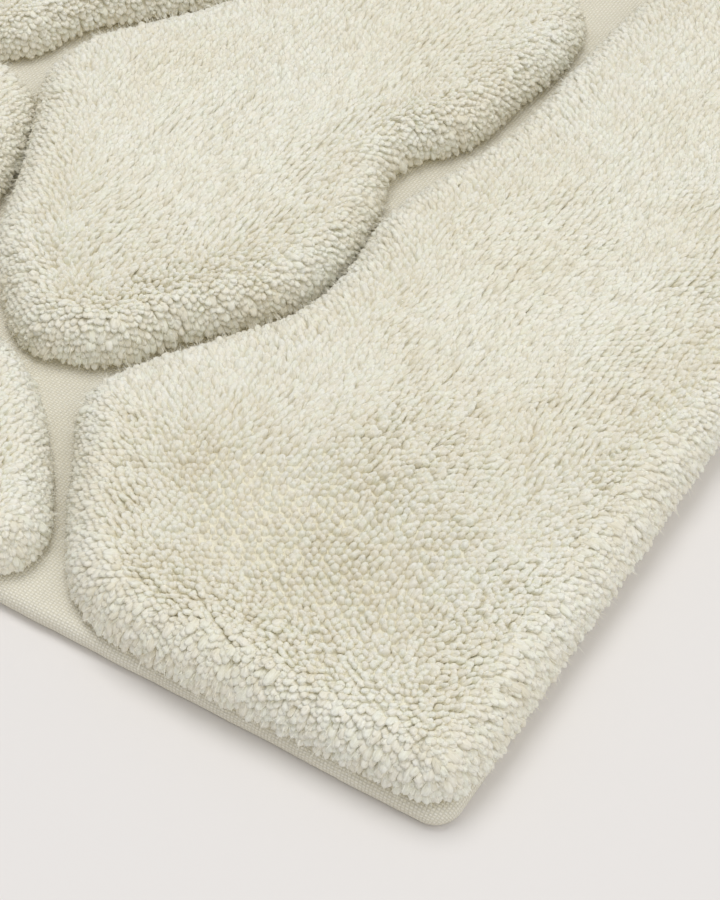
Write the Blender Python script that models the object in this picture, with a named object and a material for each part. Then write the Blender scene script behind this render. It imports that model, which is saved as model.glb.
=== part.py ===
"""A tufted bath mat: a woven base cloth whose edges are folded under into a hem, a non-slip
backing in the space inside the hem, four hem threads, and islands of cut pile with bare
channels of cloth between them.

The mat lies flat on Z = 0 with its long sides along X, and its origin is under its middle.
All sizes are in metres."""

import math

import bmesh
import bpy

# Driving dimensions
MAT_LENGTH = 0.800
MAT_WIDTH = 0.500
CORNER_RADIUS = 0.009  # of the base cloth's corners, seen from above
CLOTH_THICKNESS = 0.0024
FOLD_THICKNESS = 0.0048  # the hem's two turned-in plies, pressed together
HEM_WIDTH = 0.022
CLEARANCE = 0.0003  # between pieces that rest on each other
PILE_HEIGHT = 0.0180  # from the cloth to the top of an island
PILE_MARGIN = 0.0045  # from the mat's edge to the line of the outer islands
PILE_ROUNDING = 0.0055  # how far an island draws in at its roots and at its top
THREAD_RADIUS = 0.0003
STITCH_INSET = 0.014  # from the mat's edge to the hem's stitch line
GROOVE_SIDE_ROOM = 0.0012  # beside the thread in its groove

# Sizes that follow from those above
BASE_HEIGHT = FOLD_THICKNESS + CLEARANCE + CLOTH_THICKNESS
BACKING_THICKNESS = FOLD_THICKNESS
EDGE_RADIUS = BASE_HEIGHT / 2
GROOVE_HALF_WIDTH = THREAD_RADIUS + GROOVE_SIDE_ROOM
GROOVE_DEPTH = 2 * (THREAD_RADIUS + CLEARANCE)
THREAD_LEVEL = GROOVE_DEPTH / 2
THREAD_END = CORNER_RADIUS + STITCH_INSET

# How round things are made
EDGE_STEPS = 6
CORNER_STEPS = 5
SMALLEST_CORNER = 0.002
ISLAND_RESOLUTION = 3
THREAD_POINTS = 9

# The islands' outlines, drawn on a pattern of this many units along X and along Y, which is
# spread over the mat inside its pile margin. The pattern's corner is the mat's front left one.
PATTERN_LENGTH = 800
PATTERN_WIDTH = 500
ISLANDS = {
    "pile_front_left": [
        (52, 0), (28, 0), (11, 1), (3, 3), (1, 11), (0, 28), (0, 52), (0, 100), (6, 130),
        (24, 147), (52, 165),
        (72, 176), (88, 170), (110, 156), (138, 138), (165, 134), (196, 137), (228, 129),
        (264, 121), (320, 119), (366, 112), (394, 94), (402, 62), (400, 24), (388, 4), (362, 0),
    ],
    "pile_front_middle": [
        (446, 0), (424, 6), (413, 24), (412, 60), (418, 92), (438, 110), (474, 117), (520, 114),
        (560, 124), (596, 138), (620, 136), (634, 112), (638, 70), (636, 26), (624, 6), (600, 0),
    ],
    "pile_front_right": [
        (690, 0), (662, 5), (649, 24), (648, 70), (643, 110), (641, 142), (652, 166), (684, 182),
        (724, 188), (764, 184), (790, 168), (799, 140), (800, 100), (800, 52), (800, 28),
        (799, 11), (797, 3), (789, 1), (772, 0), (748, 0),
    ],
    "pile_left_edge": [
        (0, 200), (0, 176), (4, 162), (13, 158), (29, 166), (45, 179), (61, 195), (72, 211),
        (76, 226), (74, 248), (64, 267), (44, 281), (20, 282), (4, 270), (0, 246),
    ],
    "pile_centre_left": [
        (97, 229), (87, 215), (88, 200), (95, 185), (114, 173), (134, 157), (150, 148),
        (174, 144), (202, 149), (218, 155), (233, 153), (254, 140), (282, 136), (312, 133),
        (336, 138), (350, 156), (352, 184), (340, 212), (314, 234), (284, 246), (258, 260),
        (234, 277), (216, 287), (197, 288), (178, 278), (158, 267), (138, 258), (114, 247),
    ],
    "pile_centre": [
        (363, 194), (365, 160), (380, 136), (404, 124), (436, 124), (474, 131), (520, 128),
        (566, 140), (598, 154), (610, 180), (604, 212), (584, 234), (548, 244), (506, 245),
        (464, 256), (424, 256), (388, 244), (366, 222),
    ],
    "pile_right_edge": [
        (626, 184), (642, 178), (672, 193), (712, 202), (752, 200), (784, 190), (797, 200),
        (800, 232), (800, 300), (797, 330), (780, 344), (742, 346), (700, 340), (664, 326),
        (636, 302), (620, 266), (616, 222),
    ],
    "pile_inner_left": [
        (190, 306), (182, 289), (166, 280), (148, 274), (124, 268), (104, 262), (90, 264),
        (78, 276), (64, 292), (55, 312), (56, 336), (68, 358), (92, 374), (126, 380),
        (160, 374), (182, 356), (191, 332),
    ],
    "pile_inner_middle": [
        (204, 326), (213, 311), (229, 305), (244, 296), (258, 283), (272, 271), (296, 258),
        (326, 248), (354, 250), (376, 266), (386, 296), (384, 330), (364, 358), (330, 373),
        (286, 375), (246, 366), (216, 348),
    ],
    "pile_inner_right": [
        (398, 300), (404, 278), (422, 268), (466, 268), (508, 258), (548, 257), (586, 250),
        (604, 262), (613, 286), (625, 312), (622, 340), (602, 360), (566, 371), (520, 372),
        (476, 381), (436, 379), (409, 362), (398, 334),
    ],
    "pile_back_left": [
        (0, 330), (0, 312), (6, 298), (20, 293), (36, 296), (43, 311), (46, 338), (57, 366),
        (80, 385), (114, 393), (152, 391), (180, 386), (199, 394), (206, 414), (206, 452),
        (198, 482), (178, 497), (146, 500), (52, 500), (28, 500), (11, 499), (3, 497), (1, 489),
        (0, 472), (0, 448),
        (0, 390),
    ],
    "pile_back_middle": [
        (218, 450), (218, 412), (228, 386), (250, 379), (284, 388), (330, 387), (366, 372),
        (392, 368), (411, 386), (418, 424), (416, 468), (404, 491), (374, 500), (270, 500),
        (238, 497), (222, 480),
    ],
    "pile_back_centre": [
        (431, 440), (430, 408), (444, 392), (478, 394), (522, 385), (566, 384), (606, 373),
        (630, 372), (644, 390), (649, 430), (648, 470), (636, 492), (606, 500), (484, 500),
        (450, 497), (435, 478),
    ],
    "pile_back_right": [
        (637, 360), (646, 342), (668, 341), (702, 353), (742, 359), (780, 356), (797, 368),
        (800, 400), (800, 448), (800, 472), (799, 489), (797, 497), (789, 499), (772, 500),
        (748, 500), (702, 500),
        (674, 496), (662, 476), (662, 430), (657, 400), (646, 378),
    ],
}

# Colours are linear red, green and blue
CREAM_PILE = (0.80, 0.77, 0.66)
CREAM_CLOTH = (0.78, 0.75, 0.65)
CREAM_THREAD = (0.76, 0.73, 0.62)
PALE_LATEX = (0.62, 0.60, 0.53)


def clear_scene():
    for scene_object in list(bpy.data.objects):
        bpy.data.objects.remove(scene_object, do_unlink=True)


def new_collection(name):
    collection = bpy.data.collections.new(name)
    bpy.context.scene.collection.children.link(collection)
    return collection


def new_material(name, colour, roughness):
    material = bpy.data.materials.new(name)
    material.use_nodes = True
    shader = material.node_tree.nodes["Principled BSDF"]
    shader.inputs["Base Color"].default_value = (*colour, 1)
    shader.inputs["Roughness"].default_value = roughness
    shader.inputs["Metallic"].default_value = 0
    return material


def add_object(name, data, collection, material):
    data.materials.append(material)
    made = bpy.data.objects.new(name, data)
    collection.objects.link(made)
    return made


def rounded_rectangle(inset):
    """Points round the mat's outline moved in by inset, anticlockwise from the right side."""
    radius = max(CORNER_RADIUS - inset, SMALLEST_CORNER)
    reach_x = MAT_LENGTH / 2 - inset - radius
    reach_y = MAT_WIDTH / 2 - inset - radius
    points = []
    for quarter, (side_x, side_y) in enumerate([(1, 1), (-1, 1), (-1, -1), (1, -1)]):
        for step in range(CORNER_STEPS + 1):
            angle = math.radians(90) * (quarter + step / CORNER_STEPS)
            x = side_x * reach_x + radius * math.cos(angle)
            y = side_y * reach_y + radius * math.sin(angle)
            points.append((x, y))
    return points


def hem_section():
    """The cloth's section as (inset from the edge, height): over the top, round the edge, under
    the hem with its stitch groove, and back between the fold and the top ply."""
    inner = HEM_WIDTH + CORNER_RADIUS
    section = [(inner, BASE_HEIGHT)]
    for step in range(EDGE_STEPS + 1):
        angle = math.radians(180) * step / EDGE_STEPS
        inset = EDGE_RADIUS * (1 - math.sin(angle))
        section.append((inset, EDGE_RADIUS * (1 + math.cos(angle))))
    section += [
        (STITCH_INSET - GROOVE_HALF_WIDTH, 0),
        (STITCH_INSET - GROOVE_HALF_WIDTH, GROOVE_DEPTH),
        (STITCH_INSET + GROOVE_HALF_WIDTH, GROOVE_DEPTH),
        (STITCH_INSET + GROOVE_HALF_WIDTH, 0),
        (HEM_WIDTH, 0),
        (HEM_WIDTH, FOLD_THICKNESS),
        (EDGE_RADIUS, FOLD_THICKNESS),
        (EDGE_RADIUS, FOLD_THICKNESS + CLEARANCE),
        (inner, FOLD_THICKNESS + CLEARANCE),
    ]
    return section


def make_base_cloth(collection):
    """One loft of rounded rectangles that follow the hem's section, closed by a cap at each end."""
    mesh = bpy.data.meshes.new("base_cloth")
    shape = bmesh.new()
    rings = []
    for inset, height in hem_section():
        corners = rounded_rectangle(inset)
        rings.append([shape.verts.new((x, y, height)) for x, y in corners])
    for upper, lower in zip(rings, rings[1:]):
        for here in range(len(upper)):
            after = (here + 1) % len(upper)
            shape.faces.new((upper[here], lower[here], lower[after], upper[after]))
    shape.faces.new(rings[0])
    shape.faces.new(list(reversed(rings[-1])))
    bmesh.ops.recalc_face_normals(shape, faces=shape.faces)
    shape.to_mesh(mesh)
    shape.free()
    material = new_material("woven_cotton", CREAM_CLOTH, 0.9)
    return add_object("base_cloth", mesh, collection, material)


def flat_plate(name, outline, spline_type, thickness, rounding):
    """A closed plate from a flat outline, with its edge rounded in by rounding."""
    curve = bpy.data.curves.new(name, "CURVE")
    curve.dimensions = "2D"
    curve.fill_mode = "BOTH"
    curve.extrude = thickness / 2 - rounding
    curve.bevel_depth = rounding
    curve.bevel_resolution = 1
    curve.offset = -rounding
    curve.resolution_u = ISLAND_RESOLUTION
    spline = curve.splines.new(spline_type)
    if spline_type == "BEZIER":
        spline.bezier_points.add(len(outline) - 1)
        for point, (x, y) in zip(spline.bezier_points, outline):
            point.co = (x, y, 0)
            point.handle_left_type = "AUTO"
            point.handle_right_type = "AUTO"
    else:
        spline.points.add(len(outline) - 1)
        for point, (x, y) in zip(spline.points, outline):
            point.co = (x, y, 0, 1)
    spline.use_cyclic_u = True
    return curve


def make_backing(collection):
    outline = rounded_rectangle(HEM_WIDTH + CLEARANCE)
    plate = flat_plate("nonslip_backing", outline, "POLY", BACKING_THICKNESS, 0)
    material = new_material("latex_backing", PALE_LATEX, 0.7)
    backing = add_object("nonslip_backing", plate, collection, material)
    backing.location.z = BACKING_THICKNESS / 2
    return backing


def make_thread(name, start, end, collection, material):
    """One side's hem thread, lying in the stitch groove under the hem."""
    curve = bpy.data.curves.new(name, "CURVE")
    curve.dimensions = "3D"
    curve.bevel_depth = THREAD_RADIUS
    curve.bevel_resolution = 2
    curve.use_fill_caps = True
    spline = curve.splines.new("POLY")
    spline.points.add(THREAD_POINTS - 1)
    for index, point in enumerate(spline.points):
        share = index / (THREAD_POINTS - 1)
        x = start[0] + (end[0] - start[0]) * share
        y = start[1] + (end[1] - start[1]) * share
        point.co = (x, y, 0, 1)
    thread = add_object(name, curve, collection, material)
    thread.location.z = THREAD_LEVEL
    return thread


def make_hem_threads(collection):
    material = new_material("sewing_thread", CREAM_THREAD, 0.8)
    line_x = MAT_LENGTH / 2 - STITCH_INSET
    line_y = MAT_WIDTH / 2 - STITCH_INSET
    end_x = MAT_LENGTH / 2 - THREAD_END
    end_y = MAT_WIDTH / 2 - THREAD_END
    routes = {
        "hem_thread_front": ((-end_x, -line_y), (end_x, -line_y)),
        "hem_thread_back": ((-end_x, line_y), (end_x, line_y)),
        "hem_thread_left": ((-line_x, -end_y), (-line_x, end_y)),
        "hem_thread_right": ((line_x, -end_y), (line_x, end_y)),
    }
    for name, (start, end) in routes.items():
        make_thread(name, start, end, collection, material)


def on_the_mat(across, along):
    """A point of the pattern as a place on the mat, inside the pile margin."""
    field_length = MAT_LENGTH - 2 * PILE_MARGIN
    field_width = MAT_WIDTH - 2 * PILE_MARGIN
    x = (across / PATTERN_LENGTH - 0.5) * field_length
    y = (along / PATTERN_WIDTH - 0.5) * field_width
    return x, y


def make_pile_islands(collection):
    material = new_material("cut_pile", CREAM_PILE, 0.95)
    thickness = PILE_HEIGHT - CLEARANCE
    for name, pattern in ISLANDS.items():
        outline = [on_the_mat(across, along) for across, along in pattern]
        plate = flat_plate(name, outline, "BEZIER", thickness, PILE_ROUNDING)
        island = add_object(name, plate, collection, material)
        island.location.z = BASE_HEIGHT + CLEARANCE + thickness / 2


def main():
    clear_scene()
    collection = new_collection("bath_mat")
    make_base_cloth(collection)
    make_backing(collection)
    make_hem_threads(collection)
    make_pile_islands(collection)


main()
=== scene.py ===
"""The bath mat as it looks: islands of soft tufted pile on a plain-woven cloth with a rolled hem.

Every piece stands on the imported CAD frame. Each island of pile is a field of separate tufts
that grow from a low core, the cloth is a lofted sheet that turns under at the mat's edge, and
the backing and the hem's stitches are built on the underside. Lengths are in metres."""

import math

import bpy
import numpy as np
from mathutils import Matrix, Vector
from mathutils.geometry import tessellate_polygon


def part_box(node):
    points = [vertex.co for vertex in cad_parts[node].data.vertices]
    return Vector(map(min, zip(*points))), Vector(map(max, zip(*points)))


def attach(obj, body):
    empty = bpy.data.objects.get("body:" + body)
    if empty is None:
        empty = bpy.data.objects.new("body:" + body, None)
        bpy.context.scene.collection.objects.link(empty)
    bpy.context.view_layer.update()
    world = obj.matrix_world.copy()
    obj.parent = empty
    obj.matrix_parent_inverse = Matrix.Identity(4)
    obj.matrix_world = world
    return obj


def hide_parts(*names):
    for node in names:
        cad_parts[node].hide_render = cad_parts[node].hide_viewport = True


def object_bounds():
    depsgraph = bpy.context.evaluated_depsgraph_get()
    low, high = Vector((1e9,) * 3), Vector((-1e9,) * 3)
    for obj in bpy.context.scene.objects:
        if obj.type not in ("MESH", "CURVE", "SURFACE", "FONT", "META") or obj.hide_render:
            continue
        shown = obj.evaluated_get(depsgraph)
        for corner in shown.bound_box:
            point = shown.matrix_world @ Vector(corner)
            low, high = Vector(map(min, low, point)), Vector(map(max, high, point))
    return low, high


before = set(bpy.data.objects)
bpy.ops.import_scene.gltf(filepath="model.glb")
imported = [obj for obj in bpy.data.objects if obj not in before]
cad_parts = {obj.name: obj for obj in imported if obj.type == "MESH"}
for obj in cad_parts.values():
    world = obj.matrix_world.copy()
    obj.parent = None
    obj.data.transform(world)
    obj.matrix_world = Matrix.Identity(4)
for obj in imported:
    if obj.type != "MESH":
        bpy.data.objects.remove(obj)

CAD_LOW, CAD_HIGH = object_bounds()
BODY = "root"
SEED = 4107

CLOTH_NODE = "base_cloth"
BACKING_NODE = "nonslip_backing"
THREAD_NODES = ("hem_thread_front", "hem_thread_back", "hem_thread_left", "hem_thread_right")
ISLAND_NODES = tuple(sorted(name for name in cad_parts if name.startswith("pile_")))

# The pile
TUFT_SPACING = 0.00275
TUFT_RADIUS = 0.00168
TUFT_SIDES = 6
TUFT_JITTER = 0.20  # share of the spacing
TUFT_STRAIGHT = 0.0080  # from a tuft's bend to its tip
TUFT_DROP = 0.0035  # from the straight part down into the core
RING_PLACES = (0.50, 0.80, 0.94)  # shares of a tuft's length, the rest of which is buried
RING_WIDTHS = (1.00, 0.97, 0.66)  # shares of its radius
TUFT_WIDTHS = (0.86, 1.14)  # from the thinnest tuft to the thickest
TUFT_FLATNESS = (0.78, 1.0)
LAID_TAPER = (0.0, 0.20, 0.24)  # taken off those where a tuft is seen side on
LAID_WIDTH = 0.30  # added to a tuft's radius where the nap is laid over
SPLAY_EXTRA_WIDTH = 0.14  # added to it at a border
LAID_FLATNESS = 0.45  # how much thinner it is where it is seen side on
UNDER_SPACING = 0.0029  # of the lower tufts that fill in where the others lean over
UNDER_DEPTH = 0.0004  # below the others
UNDER_FROM = 0.30  # share of the nap's or the border's full lean where they start
WISPS = 4  # loose fibres on each tuft
WISP_WIDTH = 0.00026
WISP_LENGTHS = (0.0018, 0.0042)
WISP_PLACES = (0.5, 0.93)  # shares of the tuft's length where they start
WISP_SPREAD = (0.15, 0.65)  # outward for each unit along the tuft
WISP_CROOK = 0.15  # chance turn of each one
PILE_OVERHANG = 0.0048  # how far the pile splays past its outline
HEM_OVERHANG = (0.0002, 0.0024)  # how much further at the mat's short edges and its long ones
HEM_NEARNESS = 0.0080  # an outline this near the mat's edge runs along it
SHOULDER_REACH = 0.0140  # across the island, from its side to its flat top
SHOULDER_DROP = 0.0165  # from the flat top down to the lowest tips
OUTLINE_STEP = 0.0010
OUTLINE_SMOOTHING = 5  # times
MATCHED_AT_ONCE = 2000  # points, to keep the distance table small
CORE_DEPTH = 0.0027  # below the tips
CORE_RINGS = 7
CORE_FOOT = 0.003  # how much further in the core stands at the cloth
CORE_SHADE = 0.72  # the share of a tuft's length whose painted root shade the core is coloured with
ROOT_TUCK = 0.0012  # how far a root on an island's side is drawn in
TIP_SWELL = 0.0007  # of the pile's top, in soft waves
TIP_SWELL_CELL = 0.030
TIP_SINK = 0.0004  # mean depth of the tips below the island's shape
TIP_SPREAD = 0.00030  # chance difference in height
TURN_SPREAD = 0.13  # chance difference in direction
SPLAY_LEAN = 0.90  # tangent of the outward lean at an island's border
HEM_SPLAY = 0.30  # added to it along the mat's edges
SPLAY_WIDTH = 0.030  # inward from the border
SPLAY_SWIRL = 0.30  # share by which the splay comes and goes along the border
SPLAY_SWIRL_CELL = 0.016
HEM_SPLAY_BAND = (0.012, 0.002)  # from the mat's edge, where the extra lean starts and is full
SPLAY_SIDE_ON = 0.75  # how far a border's tufts are shaped like those of the laid nap, and spared the painted shade of tufts seen end on
NAP_LEAN = 2.10  # tangent of the lean from upright where the nap is laid over
NAP_START = 0.035  # from the mat's left edge, where the nap starts to lean over
NAP_END = 0.190  # where it leans fully
NAP_TURN = -0.27  # across the mat for each unit along it
NAP_BORDER = 0.030  # inward from an island's border, over which the nap comes in
NAP_SWIRLS = ((0.055, 0.60, 1), (0.018, 0.50, 2))  # cell, turn in radians and seed
NAP_SWELL = (0.045, 0.30, 3)  # cell, share of the lean and seed
NAP_DRIFTS = ((0.034, 0.24, 5), (0.012, 0.13, 7), (0.006, 0.08, 9))  # cell, lean and seed

# The cloth, its hem and what is under them
THREAD_PITCH_X = 0.00092
THREAD_PITCH_Y = 0.00120
HEM_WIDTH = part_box(BACKING_NODE)[0].x - CAD_LOW.x  # the folded hem ends where the backing starts
FOLD_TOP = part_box(BACKING_NODE)[1].z
CLOTH_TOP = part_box(CLOTH_NODE)[1].z
THREAD_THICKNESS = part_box(THREAD_NODES[0])[1].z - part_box(THREAD_NODES[0])[0].z
SIDE_STEP = 0.004
CORNER_STEPS = 10
EDGE_STEPS = 14
CORNER_EASE = 0.080  # how far from a corner the cloth's inner rings are drawn in
EDGE_WAVER = 0.00034  # how far the cloth's edge wanders in, in soft waves
TOP_START = 0.012  # in from the hem, where the flat middle of the cloth starts
STITCH_DIMPLE = ((-0.0020, 0.0), (-0.0010, 1.0), (0.0010, 1.0), (0.0020, 0.0))  # offset and depth
FOLD_BACK = (0.0010, 0.0002, 0.0002, 0.0012)  # round the fold's inner edge, from the hem's width
FOLD_ROUNDING = 0.0008
LINING_START = 0.0005  # in from where the edge's round ends
LINING_STEP = 0.0002  # up from the fold
WAVERS = ((0.019, 1.0, 31), (0.007, 0.6, 32))  # cell, share and seed
BACKING_RADIUS = 0.0020  # of its corners
BACKING_EDGE = 0.0006
STITCH_LENGTH = 0.0042
STITCH_GAP = 0.0014
DOT_PITCH = 0.0090
DOT_RADIUS = 0.0016
DOT_HEIGHT = 0.0007
DOT_SIDES = 10
DOT_MARGIN = 0.007
DOT_RINGS = ((1.0, -0.0001), (0.85, 0.55 * DOT_HEIGHT), (0.45, 0.92 * DOT_HEIGHT))  # width and drop
STITCH_SIDES = 6
STITCH_STEPS = 7
STITCH_DIP = 0.0009  # of a stitch's ends into the cloth
STITCH_TAPER = 0.4
FLOOR_SIZE = 200
CAMERA_FROM_CORNER = (-0.3141, -0.1659, 0.5599)  # the mat's front left corner
CAMERA_LENS = 92  # mm
CAMERA_FILM = 36  # mm
CAMERA_DROP = 48  # degrees below level
CAMERA_TURN = -58.2
DIFFUSE_BOUNCES = 8  # light goes deep between the tufts


def value_noise(points, cell, seed):
    """Smooth noise from -1 to 1 at flat points, on a seeded square lattice."""
    lattice = np.random.default_rng(seed).uniform(-1, 1, (64, 64))
    place = points / cell
    whole = np.floor(place).astype(int)
    part = place - whole
    part = part * part * (3 - 2 * part)
    x0, y0 = whole[:, 0] % 64, whole[:, 1] % 64
    x1, y1 = (x0 + 1) % 64, (y0 + 1) % 64
    low = lattice[x0, y0] * (1 - part[:, 0]) + lattice[x1, y0] * part[:, 0]
    high = lattice[x0, y1] * (1 - part[:, 0]) + lattice[x1, y1] * part[:, 0]
    return low * (1 - part[:, 1]) + high * part[:, 1]


def smooth_step(low, high, value):
    share = np.clip((value - low) / (high - low), 0, 1)
    return share * share * (3 - 2 * share)


def unit(vectors):
    return vectors / np.linalg.norm(vectors, axis=-1, keepdims=True)


def node_vertices(name):
    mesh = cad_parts[name].data
    places = np.zeros(len(mesh.vertices) * 3)
    mesh.vertices.foreach_get("co", places)
    return places.reshape(-1, 3)


def widest_loop(name):
    """The ordered flat outline of a CAD island, taken at its widest level."""
    places = np.round(node_vertices(name), 6)
    levels = np.unique(np.round(places[:, 2], 4))
    spans = [np.ptp(places[np.abs(places[:, 2] - level) < 1e-4, :2], axis=0).sum() for level in levels]
    level = levels[int(np.argmax(np.round(spans, 4)))]
    after = {}
    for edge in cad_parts[name].data.edges:
        first, second = (places[index] for index in edge.vertices)
        if abs(first[2] - level) < 1e-4 and abs(second[2] - level) < 1e-4:
            here, there = tuple(first[:2]), tuple(second[:2])
            if here != there:
                after.setdefault(here, set()).add(there)
                after.setdefault(there, set()).add(here)
    start = min(after)
    loop, previous, current = [start], None, start
    while True:
        following = sorted(point for point in after[current] if point != previous)
        previous, current = current, following[0]
        if current == start:
            return np.array(loop)
        loop.append(current)


def signed_area(loop):
    turned = np.roll(loop, -1, axis=0)
    return (loop[:, 0] * turned[:, 1] - loop[:, 1] * turned[:, 0]).sum() / 2


def resample(loop, step):
    closed = np.vstack([loop, loop[:1]])
    lengths = np.linalg.norm(np.diff(closed, axis=0), axis=1)
    along = np.concatenate([[0], np.cumsum(lengths)])
    places = np.linspace(0, along[-1], int(along[-1] / step), endpoint=False)
    return np.column_stack([np.interp(places, along, closed[:, axis]) for axis in (0, 1)])


def island_outline(name):
    """An island's outline, anticlockwise, evenly spaced and smoothed, with outward normals."""
    loop = widest_loop(name)
    if signed_area(loop) < 0:
        loop = loop[::-1]
    loop = resample(loop, OUTLINE_STEP)
    for _ in range(OUTLINE_SMOOTHING):
        loop = (np.roll(loop, 1, axis=0) + 2 * loop + np.roll(loop, -1, axis=0)) / 4
    along = np.roll(loop, -1, axis=0) - np.roll(loop, 1, axis=0)
    return loop, unit(np.column_stack([along[:, 1], -along[:, 0]]))


def hex_grid(low, high, spacing, rng):
    """Jittered points of a hexagonal grid over a rectangle."""
    row_gap = spacing * math.sqrt(3) / 2
    rows = int((high[1] - low[1]) / row_gap) + 1
    columns = int((high[0] - low[0]) / spacing) + 1
    row, column = np.meshgrid(np.arange(rows), np.arange(columns), indexing="ij")
    x = low[0] + (column + 0.5 * (row % 2)) * spacing
    y = low[1] + row * row_gap
    points = np.column_stack([x.ravel(), y.ravel()])
    return points + rng.uniform(-1, 1, points.shape) * TUFT_JITTER * spacing


def overhang_along(outline, normals):
    """How far the pile splays past each point of an outline: furthest along the mat's edges."""
    half = np.array([CAD_HIGH.x, CAD_HIGH.y])
    gaps = half - np.abs(outline)
    outward = normals * np.sign(outline)
    near = np.clip(1 - gaps / HEM_NEARNESS, 0, 1) * np.clip(outward, 0, 1)
    return PILE_OVERHANG + (np.clip(2.5 * near, 0, 1) * HEM_OVERHANG).max(axis=1)


def nearest_on_outline(points, outline):
    """The index of the outline point nearest to each point."""
    feet = np.zeros(len(points), int)
    for start in range(0, len(points), MATCHED_AT_ONCE):
        part = points[start:start + MATCHED_AT_ONCE]
        gaps = ((part[:, None, :] - outline[None, :, :]) ** 2).sum(axis=2)
        feet[start:start + MATCHED_AT_ONCE] = gaps.argmin(axis=1)
    return feet


def shoulder_table():
    """Arc lengths up an island's rounded side, with the angle of each, from its lowest tips."""
    angles = np.linspace(0, math.pi / 2, 200)
    inward = SHOULDER_REACH * (1 - np.cos(angles))
    upward = SHOULDER_DROP * np.sin(angles)
    steps = np.hypot(np.diff(inward), np.diff(upward))
    return np.concatenate([[0], np.cumsum(steps)]), angles


def tuft_tips(name, spacing, rng):
    """Where an island's tufts end, and which way each one points, on its pillow-shaped top."""
    outline, normals = island_outline(name)
    arc, angles = shoulder_table()
    reaches = arc[-1] - SHOULDER_REACH + overhang_along(outline, normals)
    margin = reaches.max()
    grid = hex_grid(outline.min(0) - margin, outline.max(0) + margin, spacing, rng)
    feet = nearest_on_outline(grid, outline)
    outward = ((grid - outline[feet]) * normals[feet]).sum(axis=1)
    kept = outward < reaches[feet]
    grid, feet, outward = grid[kept], feet[kept], outward[kept]
    foot, normal, reach = outline[feet], normals[feet], reaches[feet]
    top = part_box(name)[1].z
    angle = np.interp(reach - outward, arc, angles)
    on_side = reach - outward < arc[-1]
    overhang = reach - arc[-1] + SHOULDER_REACH
    inset = SHOULDER_REACH * (1 - np.cos(angle)) - overhang
    flat = np.where(on_side[:, None], foot - normal * inset[:, None], grid)
    height = top - SHOULDER_DROP * (1 - np.sin(angle))
    tips = np.column_stack([flat, height])
    rise = SHOULDER_REACH * np.sin(angle)
    lean_out = SHOULDER_DROP * np.cos(angle)
    facing = unit(np.column_stack([normal * lean_out[:, None], rise]))
    downhill = unit(np.column_stack([normal * rise[:, None], -lean_out]))
    return tips, facing, downhill, -outward


def laid_share(flat, inward):
    """How far the nap is laid over, from 0 near the mat's left edge and at an island's border to 1."""
    along = flat[:, 0] - CAD_LOW.x
    return smooth_step(NAP_START, NAP_END, along) * smooth_step(0.0, NAP_BORDER, inward)


def nap_lean(flat, share):
    """The nap's lean at flat points: laid over along the mat, with swirls."""
    laid = NAP_LEAN * share
    turn = sum(size * value_noise(flat, cell, SEED + seed) for cell, size, seed in NAP_SWIRLS)
    cell, size, seed = NAP_SWELL
    laid = laid * (1 + size * value_noise(flat, cell, SEED + seed))
    base = math.atan(NAP_TURN)
    lean = np.column_stack([np.cos(base + turn), np.sin(base + turn)]) * laid[:, None]
    for cell, size, seed in NAP_DRIFTS:
        lean[:, 0] += size * (1 + share) * value_noise(flat, cell, SEED + seed)
        lean[:, 1] += size * (1 + share) * value_noise(flat, cell, SEED + seed + 1)
    return lean


def tuft_paths(name, rng):
    """An island's tufts: root, bend and tip, radius, how far laid over and side on, and facing."""
    layers = [tuft_tips(name, spacing, rng) for spacing in (TUFT_SPACING, UNDER_SPACING)]
    under = np.repeat([False, True], [len(layer[0]) for layer in layers])
    tips, facing, downhill, inward = (np.concatenate(parts) for parts in zip(*layers))
    laid = laid_share(tips[:, :2], inward)
    border = np.exp(-(np.maximum(inward, 0) / SPLAY_WIDTH) ** 2)
    kept = ~under | (np.maximum(laid, border) > UNDER_FROM)
    tips, facing, downhill, laid, border, under = (
        part[kept] for part in (tips, facing, downhill, laid, border, under))
    lean = nap_lean(tips[:, :2], laid) * (1 - 0.6 * border)[:, None]
    edge_gap = np.min(np.array(CAD_HIGH.xy) - np.abs(tips[:, :2]), axis=1)
    at_hem = smooth_step(*HEM_SPLAY_BAND, edge_gap)
    splay = (SPLAY_LEAN + HEM_SPLAY * at_hem) * border
    splay = splay * (1 + SPLAY_SWIRL * value_noise(tips[:, :2], SPLAY_SWIRL_CELL, SEED + 21))
    pointing = facing + downhill * splay[:, None]
    pointing[:, :2] += lean * facing[:, 2:] ** 0.5
    spread = rng.normal(0, TURN_SPREAD, pointing.shape) * (1 - 0.35 * laid)[:, None]
    pointing = unit(unit(pointing) + spread)
    tips[:, 2] += TIP_SWELL * value_noise(tips[:, :2], TIP_SWELL_CELL, SEED + 12) * facing[:, 2]
    tips += facing * (rng.normal(-TIP_SINK, TIP_SPREAD, len(tips)) * (1 - 0.4 * laid))[:, None]
    tips -= facing * (UNDER_DEPTH * under)[:, None]
    bends = tips - pointing * TUFT_STRAIGHT
    roots = bends.copy()
    roots[:, :2] -= facing[:, :2] * ROOT_TUCK
    roots[:, 2] -= TUFT_DROP
    bends[:, 2] = np.maximum(bends[:, 2], CLOTH_TOP + TUFT_RADIUS)
    roots[:, 2] = np.maximum(roots[:, 2], CLOTH_TOP)
    side_on = np.maximum(laid, SPLAY_SIDE_ON * border)
    radius = TUFT_RADIUS * (1 + LAID_WIDTH * laid + SPLAY_EXTRA_WIDTH * border * (1 - laid))
    return roots, bends, tips, radius, laid, side_on, facing


def frames_along(roots, bends, tips, share):
    """Places and directions on the tufts' curves at one share of their length."""
    place = roots * (1 - share) ** 2 + bends * 2 * share * (1 - share) + tips * share ** 2
    along = unit((bends - roots) * (1 - share) + (tips - bends) * share)
    return place, along


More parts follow.
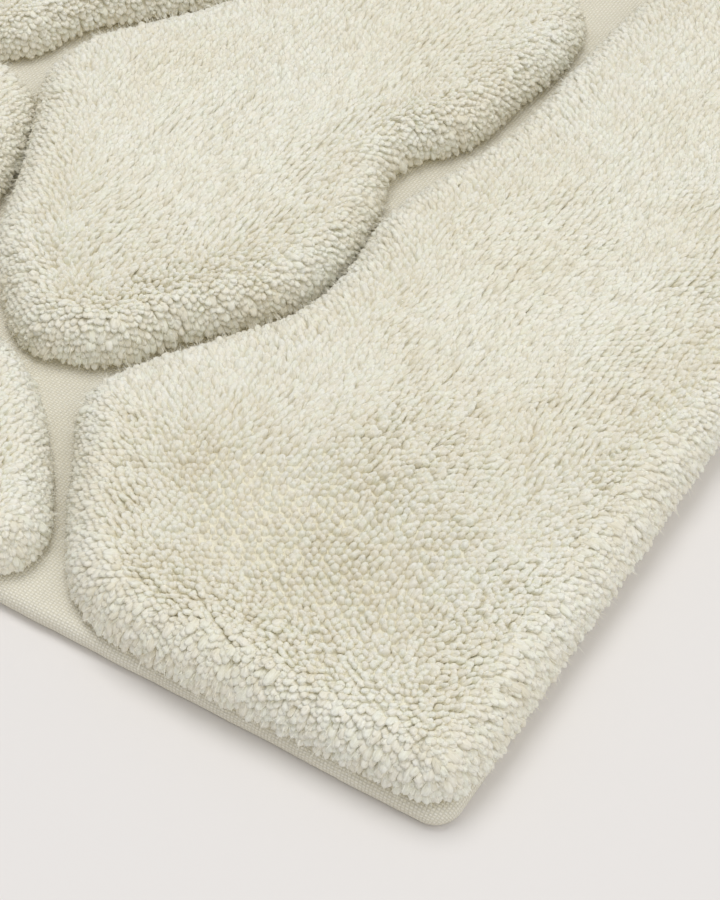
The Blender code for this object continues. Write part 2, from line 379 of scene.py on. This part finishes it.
def tuft_mesh_arrays(roots, bends, tips, radius, laid, side_on, facing, rng):
    """Vertices, triangles and shading attributes for all the tufts of an island."""
    count = len(tips)
    radius = radius * rng.uniform(*TUFT_WIDTHS, count)
    flatness = rng.uniform(*TUFT_FLATNESS, count) * (1 - LAID_FLATNESS * side_on)
    spin = rng.uniform(0, math.tau, count)
    chance = rng.uniform(0, 1, count)
    away = rng.uniform(0, 1, (count, 3))
    reference = np.column_stack([np.cos(spin), np.sin(spin), np.full(count, 0.15)])
    reference = unit(reference * (1.02 - side_on)[:, None] + 2 * facing * side_on[:, None])
    length = np.linalg.norm(tips - bends, axis=1) + np.linalg.norm(bends - roots, axis=1)
    # strand holds each vertex's share of the tuft's length, read by the painted root shade, a chance
    # tint, and how side on the tuft is, read by the painted nap shade.
    rings, fibre, strand = [], [], []
    for share, full, taper in zip(RING_PLACES, RING_WIDTHS, LAID_TAPER):
        width = full - taper * (0.35 * side_on + 0.65 * laid)
        place, along = frames_along(roots, bends, tips, share)
        side = unit(np.cross(along, reference))
        other = np.cross(along, side)
        for step in range(TUFT_SIDES):
            angle = math.tau * step / TUFT_SIDES
            across = math.cos(angle) * radius * width
            over = math.sin(angle) * radius * width * flatness
            rings.append(place + side * across[:, None] + other * over[:, None])
            fibre.append(np.column_stack([across, over, length * share]) + away)
            strand.append(np.column_stack([np.full(count, share), chance, side_on]))
    rings.append(tips)
    fibre.append(np.column_stack([np.zeros(count), np.zeros(count), length]) + away)
    strand.append(np.column_stack([np.ones(count), chance, side_on]))
    faces = tuft_faces()
    for _ in range(WISPS):
        corners = wisp_corners(roots, bends, tips, radius, reference, rng)
        first = len(rings)
        faces = np.vstack([faces, [first, first + 1, first + 2]])
        for corner, share in zip(corners, (0.85, 0.85, 1.0)):
            rings.append(corner)
            fibre.append(corner - tips + away)
            strand.append(np.column_stack([np.full(count, share), chance, side_on]))
    per_tuft = len(rings)
    vertices = np.stack(rings, axis=1).reshape(-1, 3)
    triangles = (np.arange(count)[:, None, None] * per_tuft + faces[None]).reshape(-1, 3)
    fibre = np.stack(fibre, axis=1).reshape(-1, 3)
    strand = np.stack(strand, axis=1).reshape(-1, 3)
    return vertices, triangles, fibre, strand


def wisp_corners(roots, bends, tips, radius, reference, rng):
    """The three corners of one loose fibre on each tuft, standing a little off its side."""
    count = len(tips)
    share = rng.uniform(*WISP_PLACES, (count, 1))
    place, along = frames_along(roots, bends, tips, share)
    side = unit(np.cross(along, reference))
    angle = rng.uniform(0, math.tau, (count, 1))
    radial = side * np.cos(angle) + np.cross(along, side) * np.sin(angle)
    base = place + radial * radius[:, None] * 0.8
    outward = radial * rng.uniform(*WISP_SPREAD, (count, 1))
    direction = unit(along + outward + rng.normal(0, WISP_CROOK, (count, 3)))
    across = unit(np.cross(direction, radial)) * WISP_WIDTH / 2
    end = base + direction * rng.uniform(*WISP_LENGTHS, (count, 1))
    return base - across, base + across, end


def tuft_faces():
    """Triangles of one tuft: a tube through its rings, closed by its rounded tip."""
    faces = []
    for ring in range(len(RING_PLACES) - 1):
        for step in range(TUFT_SIDES):
            after = (step + 1) % TUFT_SIDES
            here, there = ring * TUFT_SIDES + step, ring * TUFT_SIDES + after
            faces.append((here, there, there + TUFT_SIDES))
            faces.append((here, there + TUFT_SIDES, here + TUFT_SIDES))
    last = (len(RING_PLACES) - 1) * TUFT_SIDES
    tip = len(RING_PLACES) * TUFT_SIDES
    for step in range(TUFT_SIDES):
        faces.append((last + step, last + (step + 1) % TUFT_SIDES, tip))
    return np.array(faces)


def core_arrays(name):
    """The closed ground of matted fibre between an island's tufts, a little below their tips."""
    outline, normals = island_outline(name)
    overhang = overhang_along(outline, normals)[::4]
    outline, normals = outline[::4], normals[::4]
    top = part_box(name)[1].z
    insets, heights = [CORE_DEPTH - overhang + CORE_FOOT], [CLOTH_TOP]
    for angle in np.linspace(0.05, math.pi / 2, CORE_RINGS):
        reach = (SHOULDER_REACH - CORE_DEPTH) * math.cos(angle)
        insets.append(SHOULDER_REACH - overhang - reach)
        heights.append(top - SHOULDER_DROP + (SHOULDER_DROP - CORE_DEPTH) * math.sin(angle))
    rings = []
    for inset, height in zip(insets, heights):
        flat = outline - normals * inset[:, None]
        rings.append(np.column_stack([flat, np.full(len(flat), height)]))
    count = len(outline)
    faces = []
    for ring in range(len(rings) - 1):
        for here in range(count):
            after = (here + 1) % count
            low, high = ring * count, (ring + 1) * count
            faces.append((low + here, low + after, high + after, high + here))
    return np.vstack(rings), faces, count


def link_mesh(name, vertices, faces):
    """A smooth mesh object from arrays; faces is a triangle array or a list of polygons."""
    mesh = bpy.data.meshes.new(name)
    if isinstance(faces, np.ndarray):
        mesh.vertices.add(len(vertices))
        mesh.vertices.foreach_set("co", vertices.astype(np.float32).ravel())
        mesh.loops.add(faces.size)
        mesh.loops.foreach_set("vertex_index", faces.astype(np.int32).ravel())
        mesh.polygons.add(len(faces))
        starts = np.arange(0, faces.size, 3, dtype=np.int32)
        mesh.polygons.foreach_set("loop_start", starts)
        mesh.update(calc_edges=True)
    else:
        mesh.from_pydata([tuple(vertex) for vertex in vertices], [], faces)
    mesh.polygons.foreach_set("use_smooth", np.ones(len(mesh.polygons), bool))
    mesh.update()
    made = bpy.data.objects.new(name, mesh)
    bpy.context.scene.collection.objects.link(made)
    return made


def set_attribute(piece, name, values):
    layer = piece.data.attributes.new(name, "FLOAT_VECTOR", "POINT")
    layer.data.foreach_set("vector", values.astype(np.float32).ravel())


def triangulated(faces):
    """A fan of triangles for each polygon."""
    made = []
    for face in faces:
        for step in range(1, len(face) - 1):
            made.append((face[0], face[step], face[step + 1]))
    return np.array(made)


def make_island(name, order, material):
    """One island of pile: its core and all its tufts in one piece."""
    rng = np.random.default_rng(SEED + 100 * order)
    paths = tuft_paths(name, rng)
    vertices, triangles, fibre, strand = tuft_mesh_arrays(*paths, rng)
    core_vertices, core_faces, count = core_arrays(name)
    last = len(core_vertices) - count
    top = [Vector(place) for place in core_vertices[last:]]
    cap = np.array(tessellate_polygon([top])) + last
    core_triangles = np.vstack([triangulated(core_faces), cap]) + len(vertices)
    core_count = len(core_vertices)
    # The core takes the tufts' painted root shade at CORE_SHADE and half of their painted nap shade.
    core_strand = np.column_stack([np.full(core_count, CORE_SHADE), np.full((core_count, 2), 0.5)])
    everything = np.vstack([vertices, core_vertices])
    every_face = np.vstack([triangles, core_triangles])
    piece = link_mesh(name.replace("pile_", "tufts_"), everything, every_face)
    set_attribute(piece, "fibre", np.vstack([fibre, core_vertices]))
    set_attribute(piece, "strand", np.vstack([strand, core_strand]))
    piece.data.materials.append(material)
    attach(piece, BODY)
    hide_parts(name)


def corner_radius():
    """The radius of the cloth's corners, from the CAD cloth's widest ring."""
    places = node_vertices(CLOTH_NODE)
    side = places[np.abs(places[:, 0] - CAD_HIGH.x) < 1e-5]
    return CAD_HIGH.y - side[:, 1].max()


def mat_outline():
    """Points round the mat with their outward normals, for a ring at the mat's very edge."""
    radius = corner_radius()
    points, normals = [], []
    for quarter, (side_x, side_y) in enumerate([(1, 1), (-1, 1), (-1, -1), (1, -1)]):
        centre = np.array([side_x * (CAD_HIGH.x - radius), side_y * (CAD_HIGH.y - radius)])
        for angle in math.pi / 2 * (quarter + np.linspace(0, 1, CORNER_STEPS + 1)):
            normal = np.array([math.cos(angle), math.sin(angle)])
            points.append(centre + radius * normal)
            normals.append(normal)
        length = CAD_HIGH.y if quarter % 2 else CAD_HIGH.x
        for _ in np.arange(SIDE_STEP, 2 * (length - radius), SIDE_STEP):
            points.append(points[-1] + SIDE_STEP * np.array([-normal[1], normal[0]]))
            normals.append(normal)
    return np.array(points), np.array(normals)


def inset_ring(edge, normals, inset):
    """The mat's outline moved inward, with the corners kept open and the sides drawn in near them."""
    straight = min(inset, 0.9 * corner_radius())
    moved = edge - normals * straight
    for axis, half in enumerate((CAD_HIGH.x, CAD_HIGH.y)):
        start = half - CORNER_EASE
        far = np.abs(moved[:, axis])
        share = (half - inset - start) / (half - straight - start)
        drawn = np.where(far > start, start + (far - start) * share, far)
        moved[:, axis] = np.sign(moved[:, axis]) * drawn
    return moved


def cap_faces(count):
    """Faces that close the ring of mat_outline: strips from side to side and one face at each end."""
    corner = CORNER_STEPS + 1
    long_side = len(np.arange(SIDE_STEP, 2 * (CAD_HIGH.x - corner_radius()), SIDE_STEP))
    back = [corner + step for step in range(long_side)]
    first = count // 2 + corner
    front = [first + long_side - 1 - step for step in range(long_side)]
    faces = []
    for step in range(long_side - 1):
        faces.append((back[step], back[step + 1], front[step + 1], front[step]))
    faces.append(tuple(range(back[-1], front[-1] + 1)))
    faces.append(tuple(range(front[0], count)) + tuple(range(back[0] + 1)))
    return faces


def hem_profile():
    """The cloth's section from its flat top to its lining, as insets from the edge and heights."""
    radius = CLOTH_TOP / 2
    turn = np.linspace(0, math.pi, EDGE_STEPS + 1)
    insets = [HEM_WIDTH + TOP_START, HEM_WIDTH]
    heights = [CLOTH_TOP, CLOTH_TOP]
    insets += list(radius * (1 - np.sin(turn)))
    heights += list(radius * (1 + np.cos(turn)))
    stitches = CAD_HIGH.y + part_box(THREAD_NODES[0])[0].y + THREAD_THICKNESS / 2
    dimple = 1.3 * THREAD_THICKNESS
    for offset, depth in STITCH_DIMPLE:
        insets.append(stitches + offset)
        heights.append(depth * dimple)
    insets += [HEM_WIDTH - back for back in FOLD_BACK]
    heights += [0.0, FOLD_ROUNDING, FOLD_TOP - FOLD_ROUNDING, FOLD_TOP]
    insets += [radius + LINING_START, radius + LINING_START, HEM_WIDTH + TOP_START]
    heights += [FOLD_TOP, FOLD_TOP + LINING_STEP, FOLD_TOP + LINING_STEP]
    return np.array(insets), np.array(heights)


def make_base_cloth(material):
    """The woven cloth: flat between the islands and rolled under into its hem all round."""
    edge, normals = mat_outline()
    insets, heights = hem_profile()
    reach = np.concatenate([[0], np.cumsum(np.hypot(np.diff(insets), np.diff(heights)))])
    waver = sum(size * value_noise(edge, cell, SEED + seed) for cell, size, seed in WAVERS)
    rings, woven = [], []
    for inset, height, along in zip(insets, heights, reach):
        free = EDGE_WAVER * smooth_step(0.012, 0.0, inset) * smooth_step(0.0, 0.002, height)
        flat = inset_ring(edge, normals, inset) - normals * (free * (1 + waver))[:, None]
        rings.append(np.column_stack([flat, np.full(len(flat), height)]))
        unrolled = flat + normals * (along + inset - insets[0])
        woven.append(np.column_stack([unrolled, np.zeros(len(flat))]))
    count = len(edge)
    faces = cap_faces(count)
    for ring in range(len(rings) - 1):
        for here in range(count):
            after = (here + 1) % count
            low, high = ring * count, (ring + 1) * count
            faces.append((low + here, high + here, high + after, low + after))
    last = (len(rings) - 1) * count
    faces += [tuple(last + index for index in reversed(face)) for face in cap_faces(count)]
    cloth = link_mesh("woven_base_cloth", np.vstack(rings), faces)
    set_attribute(cloth, "woven", np.vstack(woven))
    cloth.data.materials.append(material)
    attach(cloth, BODY)
    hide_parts(CLOTH_NODE)


def make_backing(material):
    """The latex under the cloth, with rows of small grip dots on its underside."""
    low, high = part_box(BACKING_NODE)
    radius = BACKING_RADIUS
    corners = []
    square = [(high.x, high.y), (low.x, high.y), (low.x, low.y), (high.x, low.y)]
    for quarter, (x, y) in enumerate(square):
        centre = np.array([x - math.copysign(radius, x), y - math.copysign(radius, y)])
        for angle in math.pi / 2 * (quarter + np.linspace(0, 1, 6)):
            corners.append(centre + radius * np.array([math.cos(angle), math.sin(angle)]))
    corners = np.array(corners)
    count = len(corners)
    under = low.z + DOT_HEIGHT
    levels = ((BACKING_EDGE, under), (0.0, under + BACKING_EDGE), (0.0, high.z))
    rings = []
    for inset, height in levels:
        flat = corners * (1 - inset / np.abs(corners).max(axis=0))
        rings.append(np.column_stack([flat, np.full(count, height)]))
    faces = [tuple(reversed(range(count)))]
    for ring in range(len(levels) - 1):
        for here in range(count):
            after = (here + 1) % count
            faces.append((ring * count + here, ring * count + after,
                          (ring + 1) * count + after, (ring + 1) * count + here))
    faces.append(tuple(range(2 * count, 3 * count)))
    dots, dot_faces = grip_dots(low, high, under)
    faces += [tuple(index + 3 * count for index in face) for face in dot_faces]
    backing = link_mesh("latex_backing", np.vstack(rings + [dots]), faces)
    backing.data.materials.append(material)
    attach(backing, BODY)
    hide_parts(BACKING_NODE)


def grip_dots(low, high, under):
    """Low domes in staggered rows, standing down from the backing's underside."""
    xs = np.arange(low.x + DOT_MARGIN, high.x - DOT_MARGIN, DOT_PITCH)
    ys = np.arange(low.y + DOT_MARGIN, high.y - DOT_MARGIN, DOT_PITCH * math.sqrt(3) / 2)
    vertices, faces = [], []
    turn = math.tau * np.arange(DOT_SIDES) / DOT_SIDES
    circle = np.column_stack([np.cos(turn), np.sin(turn)]) * DOT_RADIUS
    for row, y in enumerate(ys):
        for x in xs + (row % 2) * DOT_PITCH / 2:
            start = len(vertices)
            for width, drop in DOT_RINGS:
                vertices += [(x + a * width, y + b * width, under - drop) for a, b in circle]
            vertices.append((x, y, under - DOT_HEIGHT))
            for ring in range(2):
                for here in range(DOT_SIDES):
                    after = (here + 1) % DOT_SIDES
                    first = start + ring * DOT_SIDES
                    faces.append((first + here, first + DOT_SIDES + here,
                                  first + DOT_SIDES + after, first + after))
            last = start + 2 * DOT_SIDES
            for here in range(DOT_SIDES):
                faces.append((last + here, start + 3 * DOT_SIDES, last + (here + 1) % DOT_SIDES))
    return np.array(vertices), faces


def make_stitches(name, material):
    """One side's hem stitches: short lengths of thread that dip into the cloth at each end."""
    low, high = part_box(name)
    across = (high - low).x < (high - low).y
    length = high.y - low.y if across else high.x - low.x
    centre = (low + high) / 2
    radius = THREAD_THICKNESS / 2
    sides, steps = STITCH_SIDES, STITCH_STEPS
    vertices, faces = [], []
    for number in range(int(length / (STITCH_LENGTH + STITCH_GAP))):
        start = -length / 2 + number * (STITCH_LENGTH + STITCH_GAP)
        first = len(vertices)
        for step in range(steps):
            share = step / (steps - 1)
            along = start + share * STITCH_LENGTH
            lift = STITCH_DIP * abs(2 * share - 1) ** 3
            width = radius * (1 - STITCH_TAPER * abs(2 * share - 1) ** 4)
            for side in range(sides):
                angle = math.tau * side / sides
                aside, up = width * math.cos(angle), width * math.sin(angle) + lift
                place = (aside, along, up) if across else (along, aside, up)
                vertices.append((centre.x + place[0], centre.y + place[1], centre.z + place[2]))
        for step in range(steps - 1):
            for side in range(sides):
                after = (side + 1) % sides
                ring = first + step * sides
                faces.append((ring + side, ring + after, ring + sides + after, ring + sides + side))
        faces.append(tuple(range(first, first + sides)))
        faces.append(tuple(range(first + (steps - 1) * sides, first + steps * sides)))
    stitches = link_mesh(name.replace("hem_thread", "hem_stitches"), np.array(vertices), faces)
    stitches.data.materials.append(material)
    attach(stitches, BODY)
    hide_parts(name)


def new_material(name):
    material = bpy.data.materials.new(name)
    material.use_nodes = True
    return material, material.node_tree, material.node_tree.nodes["Principled BSDF"]


def add_node(tree, kind, settings=(), inputs=()):
    """A shader node with its properties and its unlinked sockets set."""
    node = tree.nodes.new(kind)
    for key, value in dict(settings).items():
        setattr(node, key, value)
    for key, value in dict(inputs).items():
        node.inputs[key].default_value = value
    return node


def set_ramp(node, stops):
    """The stops of a colour ramp, as (place, colour)."""
    elements = node.color_ramp.elements
    while len(elements) < len(stops):
        elements.new(0.5)
    for element, (place, colour) in zip(elements, stops):
        element.position = place
        element.color = (*colour, 1)


def pile_material():
    material, tree, shader = new_material("cut_pile_tufts")
    link = tree.links.new
    strand = add_node(tree, "ShaderNodeAttribute", {"attribute_name": "strand"})
    fibre = add_node(tree, "ShaderNodeAttribute", {"attribute_name": "fibre"})
    parts = add_node(tree, "ShaderNodeSeparateXYZ")
    link(strand.outputs["Vector"], parts.inputs["Vector"])

    # Painted shade: each tuft is coloured darker and warmer toward its buried root, for the dimmer,
    # yellower light deep in the pile.
    depth = add_node(tree, "ShaderNodeValToRGB")
    set_ramp(depth, [(0.0, (0.90, 0.86, 0.72)), (0.5, (0.915, 0.885, 0.765)),
                     (0.80, (0.935, 0.92, 0.83)), (1.0, (0.95, 0.94, 0.88))])
    link(parts.outputs["X"], depth.inputs["Fac"])

    tint = add_node(tree, "ShaderNodeValToRGB")
    set_ramp(tint, [(0.0, (0.93, 0.91, 0.85)), (0.35, (1.0, 0.985, 0.96)),
                    (0.7, (0.985, 1.0, 0.97)), (1.0, (1.0, 1.0, 1.0))])
    link(parts.outputs["Y"], tint.inputs["Fac"])
    tinted = add_node(tree, "ShaderNodeMix", {"data_type": "RGBA", "blend_type": "MULTIPLY"}, {0: 1.0})
    link(depth.outputs["Color"], tinted.inputs[6])
    link(tint.outputs["Color"], tinted.inputs[7])

    stretch = add_node(tree, "ShaderNodeMapping", {}, {"Scale": (1.0, 1.0, 0.10)})
    link(fibre.outputs["Vector"], stretch.inputs["Vector"])
    grain = add_node(tree, "ShaderNodeTexNoise", {}, {"Scale": 1500.0, "Detail": 3.0, "Roughness": 0.65})
    link(stretch.outputs["Vector"], grain.inputs["Vector"])
    # Fine streaks along each tuft's fibres, coloured darker where the same noise makes the relief low:
    # fibre texture with painted shade in the furrows.
    grain_colour = add_node(tree, "ShaderNodeValToRGB")
    set_ramp(grain_colour, [(0.32, (0.89, 0.875, 0.825)), (0.60, (1.0, 1.0, 1.0))])
    link(grain.outputs["Fac"], grain_colour.inputs["Fac"])
    grained = add_node(tree, "ShaderNodeMix", {"data_type": "RGBA", "blend_type": "MULTIPLY"}, {0: 1.0})
    link(tinted.outputs[2], grained.inputs[6])
    link(grain_colour.outputs["Color"], grained.inputs[7])

    # Painted shade: soft patches a few centimetres across are coloured slightly darker, for the brushed
    # nap catching the light unevenly.
    place = add_node(tree, "ShaderNodeTexCoord")
    patches = add_node(tree, "ShaderNodeTexNoise", {}, {"Scale": 26.0, "Detail": 2.0})
    link(place.outputs["Object"], patches.inputs["Vector"])
    patch_colour = add_node(tree, "ShaderNodeValToRGB")
    set_ramp(patch_colour, [(0.35, (0.975, 0.96, 0.93)), (0.65, (1.0, 1.0, 1.0))])
    link(patches.outputs["Fac"], patch_colour.inputs["Fac"])
    patched = add_node(tree, "ShaderNodeMix", {"data_type": "RGBA", "blend_type": "MULTIPLY"}, {0: 1.0})
    link(grained.outputs[2], patched.inputs[6])
    link(patch_colour.outputs["Color"], patched.inputs[7])
    # Painted shade: tufts seen end on are coloured slightly darker than those laid over or seen side on,
    # for how little light the cut ends catch.
    nap = add_node(tree, "ShaderNodeValToRGB")
    set_ramp(nap, [(0.0, (0.955, 0.95, 0.945)), (1.0, (1.0, 1.0, 1.0))])
    link(parts.outputs["Z"], nap.inputs["Fac"])
    shaded = add_node(tree, "ShaderNodeMix", {"data_type": "RGBA", "blend_type": "MULTIPLY"}, {0: 1.0})
    link(patched.outputs[2], shaded.inputs[6])
    link(nap.outputs["Color"], shaded.inputs[7])
    link(shaded.outputs[2], shader.inputs["Base Color"])

    relief = add_node(tree, "ShaderNodeBump", {}, {"Strength": 0.65, "Distance": 0.0006})
    link(grain.outputs["Fac"], relief.inputs["Height"])
    link(relief.outputs["Normal"], shader.inputs["Normal"])
    shader.inputs["Roughness"].default_value = 0.92
    shader.inputs["Specular IOR Level"].default_value = 0.15
    shader.inputs["Sheen Weight"].default_value = 0.20
    shader.inputs["Sheen Roughness"].default_value = 0.5
    return material


def math_node(tree, operation, first, second=None):
    """A maths node fed by one or two sockets or numbers."""
    node = add_node(tree, "ShaderNodeMath", {"operation": operation})
    for index, value in enumerate((first, second)):
        if isinstance(value, (int, float)):
            node.inputs[index].default_value = value
        elif value is not None:
            tree.links.new(value, node.inputs[index])
    return node.outputs["Value"]


def cloth_material():
    """Plain-woven cotton: rounded thread crossings at their real spacing, with painted shade darkening
    the hollows between them.
    """
    material, tree, shader = new_material("plain_weave_cotton")
    link = tree.links.new
    woven = add_node(tree, "ShaderNodeAttribute", {"attribute_name": "woven"})
    drift = add_node(tree, "ShaderNodeTexNoise", {}, {"Scale": 140.0, "Detail": 2.0})
    link(woven.outputs["Vector"], drift.inputs["Vector"])
    shift = add_node(tree, "ShaderNodeVectorMath", {"operation": "SCALE"}, {"Scale": 0.0011})
    link(drift.outputs["Color"], shift.inputs[0])
    moved = add_node(tree, "ShaderNodeVectorMath", {"operation": "ADD"})
    link(woven.outputs["Vector"], moved.inputs[0])
    link(shift.outputs["Vector"], moved.inputs[1])
    parts = add_node(tree, "ShaderNodeSeparateXYZ")
    link(moved.outputs["Vector"], parts.inputs["Vector"])

    turned_x = math_node(tree, "MULTIPLY", parts.outputs["X"], math.pi / THREAD_PITCH_X)
    turned_y = math_node(tree, "MULTIPLY", parts.outputs["Y"], math.pi / THREAD_PITCH_Y)
    across = math_node(tree, "SINE", turned_x)
    along = math_node(tree, "SINE", turned_y)
    crossing = math_node(tree, "MULTIPLY", across, along)
    rounded = math_node(tree, "POWER", math_node(tree, "ABSOLUTE", crossing), 0.6)
    over = math_node(tree, "MULTIPLY", crossing, 0.28)
    bump = math_node(tree, "ADD", math_node(tree, "MULTIPLY", rounded, 0.72), over)
    grain = add_node(tree, "ShaderNodeTexNoise", {}, {"Scale": 3500.0, "Detail": 2.0})
    link(woven.outputs["Vector"], grain.inputs["Vector"])
    rough = math_node(tree, "MULTIPLY", grain.outputs["Fac"], 0.35)
    height = math_node(tree, "ADD", bump, rough)

    # Painted shade: the weave is coloured darker in the hollows between thread crossings and lighter on
    # their crowns.
    tone = add_node(tree, "ShaderNodeValToRGB")
    set_ramp(tone, [(0.0, (0.71, 0.67, 0.545)), (0.50, (0.88, 0.845, 0.73)), (1.0, (0.95, 0.925, 0.83))])
    link(bump, tone.inputs["Fac"])
    cloudy = add_node(tree, "ShaderNodeTexNoise", {}, {"Scale": 45.0, "Detail": 3.0})
    link(woven.outputs["Vector"], cloudy.inputs["Vector"])
    cloud_colour = add_node(tree, "ShaderNodeValToRGB")
    set_ramp(cloud_colour, [(0.3, (0.95, 0.94, 0.92)), (0.7, (1.0, 1.0, 1.0))])
    link(cloudy.outputs["Fac"], cloud_colour.inputs["Fac"])
    clouded = add_node(tree, "ShaderNodeMix", {"data_type": "RGBA", "blend_type": "MULTIPLY"}, {0: 1.0})
    link(tone.outputs["Color"], clouded.inputs[6])
    link(cloud_colour.outputs["Color"], clouded.inputs[7])
    link(clouded.outputs[2], shader.inputs["Base Color"])

    relief = add_node(tree, "ShaderNodeBump", {}, {"Strength": 0.9, "Distance": 0.00032})
    link(height, relief.inputs["Height"])
    link(relief.outputs["Normal"], shader.inputs["Normal"])
    shader.inputs["Roughness"].default_value = 0.9
    shader.inputs["Specular IOR Level"].default_value = 0.2
    return material


def latex_material():
    """Matt latex: a little uneven, with painted shade making it slightly darker in its hollows."""
    material, tree, shader = new_material("matt_latex")
    link = tree.links.new
    place = add_node(tree, "ShaderNodeTexCoord")
    uneven = add_node(tree, "ShaderNodeTexNoise", {}, {"Scale": 220.0, "Detail": 4.0})
    link(place.outputs["Object"], uneven.inputs["Vector"])
    # Painted shade: the same noise as the relief, so the latex is coloured darker where it is low.
    tone = add_node(tree, "ShaderNodeValToRGB")
    set_ramp(tone, [(0.3, (0.56, 0.535, 0.46)), (0.7, (0.64, 0.62, 0.55))])
    link(uneven.outputs["Fac"], tone.inputs["Fac"])
    link(tone.outputs["Color"], shader.inputs["Base Color"])
    relief = add_node(tree, "ShaderNodeBump", {}, {"Strength": 0.4, "Distance": 0.0003})
    link(uneven.outputs["Fac"], relief.inputs["Height"])
    link(relief.outputs["Normal"], shader.inputs["Normal"])
    shader.inputs["Roughness"].default_value = 0.65
    return material


def thread_material():
    """Twisted sewing thread: fine slanting plies, with painted shade in the grooves between them."""
    material, tree, shader = new_material("sewing_thread")
    link = tree.links.new
    place = add_node(tree, "ShaderNodeTexCoord")
    plies = add_node(tree, "ShaderNodeTexWave", {"bands_direction": "DIAGONAL"}, {"Scale": 420.0})
    link(place.outputs["Object"], plies.inputs["Vector"])
    # Painted shade: the thread is coloured darker in the grooves between its plies and lighter on their
    # crowns.
    tone = add_node(tree, "ShaderNodeValToRGB")
    set_ramp(tone, [(0.0, (0.58, 0.55, 0.45)), (1.0, (0.76, 0.73, 0.62))])
    link(plies.outputs["Fac"], tone.inputs["Fac"])
    link(tone.outputs["Color"], shader.inputs["Base Color"])
    relief = add_node(tree, "ShaderNodeBump", {}, {"Strength": 0.6, "Distance": 0.0001})
    link(plies.outputs["Fac"], relief.inputs["Height"])
    link(relief.outputs["Normal"], shader.inputs["Normal"])
    shader.inputs["Roughness"].default_value = 0.75
    return material


def add_floor():
    """A plain pale floor that runs out of sight."""
    material, _, shader = new_material("studio_floor")
    shader.inputs["Base Color"].default_value = (0.808, 0.781, 0.761, 1)
    shader.inputs["Roughness"].default_value = 0.9
    shader.inputs["Specular IOR Level"].default_value = 0.0
    bpy.ops.mesh.primitive_plane_add(size=FLOOR_SIZE, location=(0, 0, 0))
    floor = bpy.context.object
    floor.name = "studio_floor"
    floor.data.materials.append(material)


def add_sun(name, energy, spread, tilt, turn):
    """Even light from the sky: spread, tilt from upright and turn round the mat are in degrees."""
    data = bpy.data.lights.new(name, "SUN")
    data.energy = energy
    data.angle = math.radians(spread)
    sun = bpy.data.objects.new(name, data)
    sun.rotation_euler = (math.radians(tilt), 0, math.radians(turn))
    bpy.context.scene.collection.objects.link(sun)


def add_lights():
    """A soft key from above and behind the mat, a wide fill from the front, and an even surround."""
    world = bpy.data.worlds.new("studio_world")
    bpy.context.scene.world = world
    world.use_nodes = True
    background = world.node_tree.nodes["Background"]
    background.inputs["Color"].default_value = (1.0, 1.0, 1.0, 1)
    background.inputs["Strength"].default_value = 0.50
    add_sun("soft_key", 1.12, 34, 18, 132)
    add_sun("front_fill", 0.72, 56, 42, -12)


def add_camera():
    """A camera close over the mat's front left corner."""
    data = bpy.data.cameras.new("view")
    data.lens = CAMERA_LENS
    data.sensor_width = CAMERA_FILM
    camera = bpy.data.objects.new("view", data)
    camera.location = [corner + away for corner, away in zip(CAD_LOW, CAMERA_FROM_CORNER)]
    camera.rotation_euler = (math.radians(90 - CAMERA_DROP), 0, math.radians(CAMERA_TURN))
    bpy.context.scene.collection.objects.link(camera)
    bpy.context.scene.camera = camera


def main():
    pile = pile_material()
    for order, name in enumerate(ISLAND_NODES):
        make_island(name, order, pile)
    make_base_cloth(cloth_material())
    make_backing(latex_material())
    thread = thread_material()
    for name in THREAD_NODES:
        make_stitches(name, thread)
    add_floor()
    add_lights()
    add_camera()
    bpy.context.scene.view_settings.view_transform = "Standard"
    bpy.context.scene.cycles.diffuse_bounces = DIFFUSE_BOUNCES


main()
